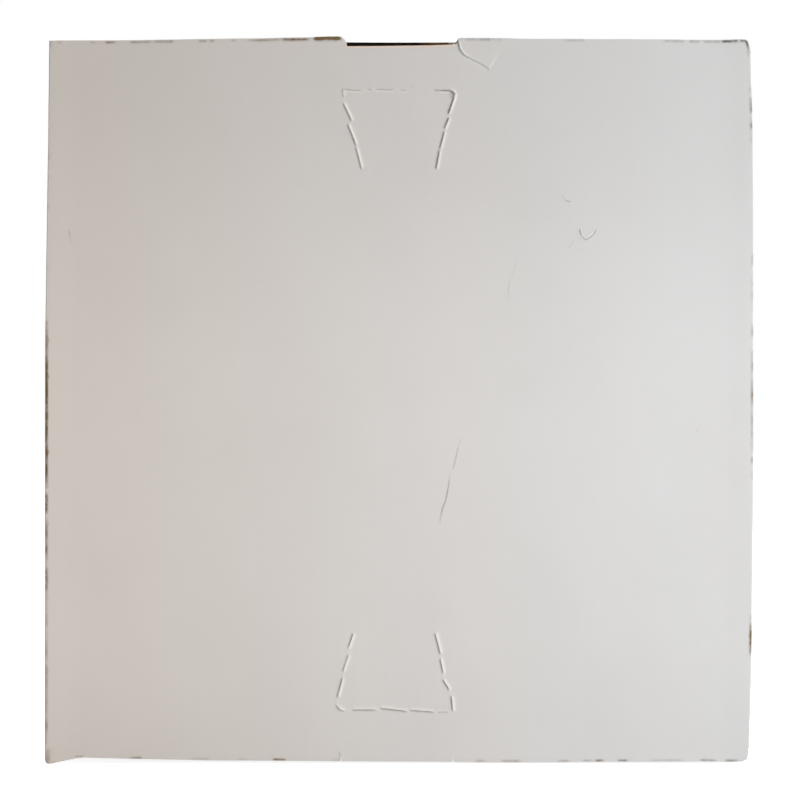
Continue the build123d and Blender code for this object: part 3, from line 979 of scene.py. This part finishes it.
class OBJECT_OT_hinge_liners(bpy.types.Operator):
    """Carry the outer liner over each lid's hinge fold"""

    bl_idname = "object.hinge_liners"
    bl_label = "Hinge liners"

    def execute(self, context):
        line = [(HALF_DEPTH - back, h) for back, h in LINER_FOOT]
        line += [
            (HINGE_Y + LINER_ARC * math.cos(a), LINER_ARC * math.sin(a))
            for a in np.linspace(0, math.pi / 2, 9)
        ]
        line += [(HINGE_Y - back, h) for back, h in LINER_HEAD]
        way = np.gradient(np.array(line), axis=0)
        way /= np.hypot(*way.T)[:, None]
        inner = np.array(line) + np.column_stack((-way[:, 1], way[:, 0])) * LINER_BEHIND
        path = [*line, *inner]
        rows = [j for j in range(len(path) - 1) if j != len(line) - 1]
        us = np.linspace(-LINER_HALF, LINER_HALF, LINER_COLUMNS)
        n = len(us)
        kinds = [int(j >= len(line)) for j in rows for _ in range(n - 1)]
        for name, top in (("top_lid", True), ("bottom_lid", False)):
            verts, faces = [], []
            for y, h in path:
                z = np.full(n, LID_LEVEL - KNUCKLE + h if top else KNUCKLE - h)
                verts.append(np.column_stack((draw_in(us, z), np.full(n, y), z)) * MM)
            for j in rows:
                turned = top == (j < len(line))
                faces += [q[::-1] if turned else q for q in strip(j, j + 1, n)]
            used = ("white_liner", "kraft_liner")
            piece = make_piece(name + "_hinge_liner", verts, faces, used, kinds)
            rubbed = LINER_WEAR * bell(np.array([h for _, h in path]) - 0.5, 0.5)
            write_marks(piece.data, {"wear": np.repeat(rubbed, n)})
            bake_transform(piece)
        return {"FINISHED"}


def flute_ribbon(name, edge, place, body):
    """A wavy strip of fluting just inside a cut edge, given as points in the sheet."""
    size = sizes()
    board, liner, pitch = size.board / MM, size.liner / MM, size.flute_pitch / MM
    at, way = along(edge, pitch / 12)
    into = np.column_stack((-way[:, 1], way[:, 0]))
    skin = size.face_skin / MM + liner
    middle, swing = (board - liner + skin) / 2, (board - liner - skin) / 2 - 0.1
    wave = middle + swing * np.sin(2 * math.pi * (at[:, 0] - FACE_MIDDLE) / pitch)
    section = (
        (RIBBON_NEAR, -RIBBON_HALF), (RIBBON_NEAR, RIBBON_HALF),
        (RIBBON_FAR, RIBBON_HALF), (RIBBON_FAR, -RIBBON_HALF),
    )
    rows = [place(*(at + into * inset).T, wave + depth) for inset, depth in section]
    faces = [q for j in range(4) for q in strip(j, (j + 1) % 4, len(at))]
    piece = make_piece(name, rows, faces, ("raw_edge",), [0] * len(faces))
    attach(piece, body)


class OBJECT_OT_flute_edges(bpy.types.Operator):
    """Show the wavy fluting in every cut edge that crosses it"""

    bl_idname = "object.flute_edges"
    bl_label = "Flute edges"

    def execute(self, context):
        rim = carton_outline()
        foot = [p for p in rim if FACE_START + 2 < p[0] < FACE_END - 1 and p[1] < 2.5]
        head = [p for p in rim if FACE_START + 1 < p[0] < FACE_END - 1 and p[1] > 155]
        left = 12.4, LEFT_END - 12.6
        right = RIGHT_START + 12.6, RIGHT_END - 10.6
        edges = {
            "face_top_right": between(head, 13.2, math.inf),
            "notch": between(head, -11.6, 12.2),
            "face_top_left": between(head, -math.inf, -12.9),
            "face_foot": between(foot, -71, -12.64),
            "face_foot_middle": [p for p in between(foot, -12.55, 11.85) if p[1] < 1],
            "face_foot_right": between(foot, 11.9, math.inf),
            "dust_tip_left_low": [(u, TIP_LOW) for u in left],
            "dust_tip_right_low": [(u, TIP_LOW) for u in right],
            "dust_tip_right_high": [(u, TIP_HIGH) for u in right[::-1]],
            "dust_tip_left_high": [(u, TIP_HIGH) for u in left[::-1]],
        }
        for name, edge in edges.items():
            flute_ribbon("flutes_" + name, edge, place_carton, "carton")
        half = TUCK_HALF - TUCK_TAPER - TUCK_CORNER - 0.2
        for name, place in (("top_lid", place_top_lid), ("bottom_lid", place_bottom_lid)):
            flute_ribbon("flutes_" + name, [(half, LID_TIP), (-half, LID_TIP)], place, name)
        return {"FINISHED"}


def between(points, low, high):
    """The points of the face from low to high, measured from its middle."""
    return [p for p in points if low < p[0] - FACE_MIDDLE < high]


class Nodes:
    """Short ways to add linked nodes to a node tree."""

    def __init__(self, tree):
        self.tree = tree

    def put(self, socket, value):
        """Link another node's output to a socket, or set a constant on it."""
        if isinstance(value, bpy.types.NodeSocket):
            self.tree.links.new(value, socket)
        else:
            socket.default_value = value

    def add(self, kind, inputs=None, **settings):
        """The outputs of a new node with these inputs and settings."""
        node = self.tree.nodes.new(kind)
        for key, value in settings.items():
            setattr(node, key, value)
        for key, value in (inputs or {}).items():
            self.put(node.inputs[key], value)
        return node.outputs

    def math(self, operation, a, b, clamp=False):
        """One step of arithmetic between sockets or numbers."""
        return self.add("ShaderNodeMath", {0: a, 1: b}, operation=operation, use_clamp=clamp)[0]

    def plus(self, a, b):
        """The sum of two values."""
        return self.math("ADD", a, b)

    def times(self, a, b, clamp=False):
        """The product of two values."""
        return self.math("MULTIPLY", a, b, clamp)

    def mix(self, factor, a, b):
        """Two colours mixed by a factor."""
        return self.add("ShaderNodeMix", {0: factor, 6: a, 7: b}, data_type="RGBA")[2]

    def step(self, value, low, high):
        """Eased step of a value between two limits."""
        inputs = {"Value": value, "From Min": low, "From Max": high}
        return self.add("ShaderNodeMapRange", inputs, interpolation_type="SMOOTHSTEP")[0]

    def coords(self):
        """Place on the object."""
        return self.add("ShaderNodeTexCoord")["Object"]

    def noise(self, vector, scale, detail, roughness=0.5):
        """Cloudy noise around 0.5."""
        inputs = {"Vector": vector, "Scale": scale, "Detail": detail, "Roughness": roughness}
        return self.add("ShaderNodeTexNoise", inputs)[0]

    def layer(self, key):
        """A layer of marks on the mesh."""
        return self.add("ShaderNodeAttribute", attribute_name=key)["Fac"]

    def seen(self):
        """1 on rays that the camera sees straight, by a mirror or through glass."""
        path = self.add("ShaderNodeLightPath")
        mirrored = self.math("MAXIMUM", path["Is Glossy Ray"], path["Is Transmission Ray"])
        return self.math("MAXIMUM", path["Is Camera Ray"], mirrored)

    def shade(self, colour, roughness, specular):
        """Colour and gloss of the principled shader."""
        inputs = self.tree.nodes["Principled BSDF"].inputs
        self.put(inputs["Base Color"], colour)
        self.put(inputs["Roughness"], roughness)
        self.put(inputs["Specular IOR Level"], specular)

    def bumps(self, height, strength):
        """Fine bumps of a tenth of a millimetre."""
        inputs = {"Height": height, "Strength": strength, "Distance": 0.0001}
        normal = self.tree.nodes["Principled BSDF"].inputs["Normal"]
        self.put(normal, self.add("ShaderNodeBump", inputs)[0])


def rgba(colour, gain=1):
    """A colour with full opacity, lighter or darker by a gain."""
    return (*(min(1, c * gain) for c in colour), 1.0)


def dress_liner(nodes):
    """White-lined board: aged and given painted shade to the left, painted shade at the top and the
    foot, rubbed brown at edges and folds, scratched, with painted shadows at cuts, painted
    highlights on lips and near-black painted shade at the notch.
    """
    tone = finishes()
    plus, times, mix, step = nodes.plus, nodes.times, nodes.mix, nodes.step
    coords = nodes.coords()
    parts = nodes.add("ShaderNodeSeparateXYZ", {0: coords})
    # Tone across the carton from left to right; the darker left tone is partly painted shade
    across = {"Value": parts["X"], "From Min": -0.075, "From Max": 0.058}
    across = nodes.add("ShaderNodeMapRange", across)[0]
    colour = mix(across, rgba(tone.liner_left_aged_and_shaded), rgba(tone.liner_right))
    # Painted shade: the liner is darker towards the top and, less, towards the foot
    high = times(step(parts["Z"], 0.07, 0.165), 0.17)
    low = times(step(parts["Z"], 0.03, -0.005), 0.07)
    colour = mix(nodes.math("MAXIMUM", high, low), colour, (0, 0, 0, 1))
    cloud = nodes.noise(coords, 26.0, 4.0, 0.55)
    colour = mix(times(step(cloud, 0.35, 0.75), 0.10), colour, (0.50, 0.455, 0.42, 1))
    grain = nodes.noise(coords, 2600.0, 2.0)
    colour = mix(times(grain, 0.05), colour, (0.45, 0.42, 0.40, 1))

    patch = nodes.math("SUBTRACT", nodes.noise(coords, 420.0, 5.0, 0.65), 0.5)
    wear, soot_and_shade, torn, mark, painted_highlight = (nodes.layer(key) for key in MARKS)
    worn = times(wear, plus(1.0, times(patch, 3.0)), clamp=True)
    torn = times(step(plus(torn, times(patch, 1.2)), 0.35, 0.8), step(torn, 0.02, 0.2))
    # Near-black painted shade at the notch, with some grime, broken up by noise
    soot_and_shade = times(step(plus(soot_and_shade, patch), 0.3, 0.7), step(soot_and_shade, 0.02, 0.2))
    speck = step(nodes.noise(coords, 900.0, 3.0), 0.25, 0.6)
    # Scratches and painted shadows, broken up by specks
    marked = times(mark, plus(0.4, times(speck, 0.6)), clamp=True)
    for amount, over in (
        (painted_highlight, tone.painted_highlight), (torn, tone.torn), (worn, tone.worn), (soot_and_shade, tone.soot_and_shade),
        (marked, tone.mark),
    ):
        colour = mix(amount, colour, rgba(over))
    nodes.shade(colour, plus(0.52, times(cloud, 0.16)), 0.22)
    nodes.bumps(nodes.noise(coords, 1500.0, 4.0, 0.6), 0.05)


def dress_kraft(nodes):
    """Brown kraft liner with long fibres, on the inside."""
    tone = finishes().kraft
    coords = nodes.coords()
    stretch = nodes.add("ShaderNodeMapping", {"Vector": coords, "Scale": (1.0, 1.0, 0.25)})[0]
    fibre = nodes.noise(stretch, 900.0, 6.0, 0.7)
    colour = nodes.mix(nodes.step(fibre, 0.3, 0.72), rgba(tone, 0.72), rgba(tone, 1.22))
    cloud = nodes.noise(coords, 30.0, 3.0)
    nodes.shade(nodes.mix(nodes.times(cloud, 0.35), colour, rgba(tone)), 0.8, 0.2)
    nodes.bumps(fibre, 0.25)


def dress_raw(nodes):
    """Cut edge of the board: rough, darker brown fibres."""
    tone = finishes().raw_edge
    fibre = nodes.noise(nodes.coords(), 1600.0, 5.0, 0.7)
    colour = nodes.mix(nodes.step(fibre, 0.3, 0.7), rgba(tone, 0.6), rgba(tone, 1.5))
    nodes.shade(colour, 0.9, 0.15)
    nodes.bumps(fibre, 0.4)


def dress_crest(nodes):
    """Dull, near-black crest that shows in the notch, with brown fibres: painted shade of the gap
    behind the notch, with some grime.
    """
    tone = finishes()
    fibre = nodes.noise(nodes.coords(), 700.0, 5.0, 0.7)
    crest_grime_and_shade = nodes.mix(nodes.step(fibre, 0.45, 0.75), rgba(tone.soot_and_shade), rgba(tone.soot_and_shade, 3))
    # Darkest where the layer is strongest: painted shade deep in the gap behind the notch
    depth = nodes.step(nodes.layer("soot_and_shade"), 0.5, 0.95)
    nodes.shade(nodes.mix(depth, rgba(tone.raw_edge), crest_grime_and_shade), 1.0, 0.0)
    nodes.bumps(fibre, 0.4)


def dress_floor(nodes):
    """Pale, dull floor that fades into the background and keeps the shadow."""
    nodes.shade(rgba(finishes().floor), 0.95, 0.0)
    glow = nodes.add("ShaderNodeEmission", {"Strength": nodes.times(nodes.seen(), FLOOR_GLOW)})[0]
    shader = nodes.tree.nodes["Principled BSDF"].outputs[0]
    both = nodes.add("ShaderNodeAddShader", {0: shader, 1: glow})[0]
    nodes.put(nodes.tree.nodes["Material Output"].inputs["Surface"], both)


DRESSES = {
    "white_liner": dress_liner,
    "kraft_liner": dress_kraft,
    "raw_edge": dress_raw,
    "shaded_dirty_crest": dress_crest,
    "floor": dress_floor,
}


def finish(name):
    """The named material, dressed with its nodes when it is new."""
    made = bpy.data.materials.get(name)
    if made is None:
        made = bpy.data.materials.new(name)
        made.use_nodes = True
        DRESSES[name](Nodes(made.node_tree))
    return made


def area_light(name, at, size, power, colour):
    """A square soft light that faces the carton."""
    lamp = bpy.data.lights.new(name, "AREA")
    lamp.shape = "SQUARE"
    lamp.size = size
    lamp.energy = power
    lamp.color = colour
    thing = bpy.data.objects.new(name, lamp)
    thing.location = at
    way = Vector(LIGHTS_FACE) - Vector(at)
    thing.rotation_euler = way.to_track_quat("-Z", "Y").to_euler()
    bpy.context.scene.collection.objects.link(thing)


class OBJECT_OT_carton_stage(bpy.types.Operator):
    """Lay the pale floor, set the soft lights and the camera"""

    bl_idname = "object.carton_stage"
    bl_label = "Stage"

    def execute(self, context):
        far = FLOOR_HALF
        corners = [(-far, -far, 0), (far, -far, 0), (far, far, 0), (-far, far, 0)]
        floor = make_piece("floor", corners, [(0, 1, 2, 3)], ("floor",), [0])

        world = bpy.data.worlds.new("studio")
        world.use_nodes = True
        context.scene.world = world
        back = world.node_tree.nodes["Background"].inputs
        back["Color"].default_value = (1, 1, 1, 1)
        nodes = Nodes(world.node_tree)
        level = nodes.add("ShaderNodeMapRange", {"Value": nodes.seen(), "To Min": WORLD_LIGHT})[0]
        nodes.put(back["Strength"], level)
        for light in LIGHTS:
            area_light(*light)

        camera = bpy.data.cameras.new("camera")
        camera.sensor_width = CAMERA_SENSOR
        camera.lens = CAMERA_LENS
        camera.clip_start = 0.05
        camera.clip_end = 30.0
        thing = bpy.data.objects.new("camera", camera)
        thing.location = CAMERA_PLACE
        thing.rotation_euler = (math.pi / 2, 0, 0)
        context.scene.collection.objects.link(thing)
        context.scene.camera = thing
        context.scene.view_settings.view_transform = "Standard"
        return {"FINISHED"}


class VIEW3D_PT_carton(bpy.types.Panel):
    """Steps that make the carton, in order"""

    bl_label = "Game controller box"
    bl_space_type = "VIEW_3D"
    bl_region_type = "UI"
    bl_category = "Carton"

    def draw(self, context):
        for step in STEPS:
            self.layout.operator(step.bl_idname)
        for group in (context.scene.carton_sizes, context.scene.carton_finishes):
            for key in group.__annotations__:
                self.layout.prop(group, key)


STEPS = (
    OBJECT_OT_fold_carton, OBJECT_OT_fold_lids, OBJECT_OT_hinge_liners, OBJECT_OT_flute_edges,
    OBJECT_OT_carton_stage,
)
CLASSES = (CartonSizes, CartonFinishes, *STEPS, VIEW3D_PT_carton)


def register():
    """Make the settings, the steps and the panel known to Blender."""
    for item in CLASSES:
        bpy.utils.register_class(item)
    bpy.types.Scene.carton_sizes = bpy.props.PointerProperty(type=CartonSizes)
    bpy.types.Scene.carton_finishes = bpy.props.PointerProperty(type=CartonFinishes)


def unregister():
    """Take them away again."""
    del bpy.types.Scene.carton_finishes
    del bpy.types.Scene.carton_sizes
    for item in reversed(CLASSES):
        bpy.utils.unregister_class(item)


def main():
    """Make every piece and the stage."""
    register()
    bpy.ops.object.fold_carton()
    bpy.ops.object.fold_lids()
    bpy.ops.object.hinge_liners()
    bpy.ops.object.flute_edges()
    bpy.ops.object.carton_stage()


if __name__ == "__main__":
    main()
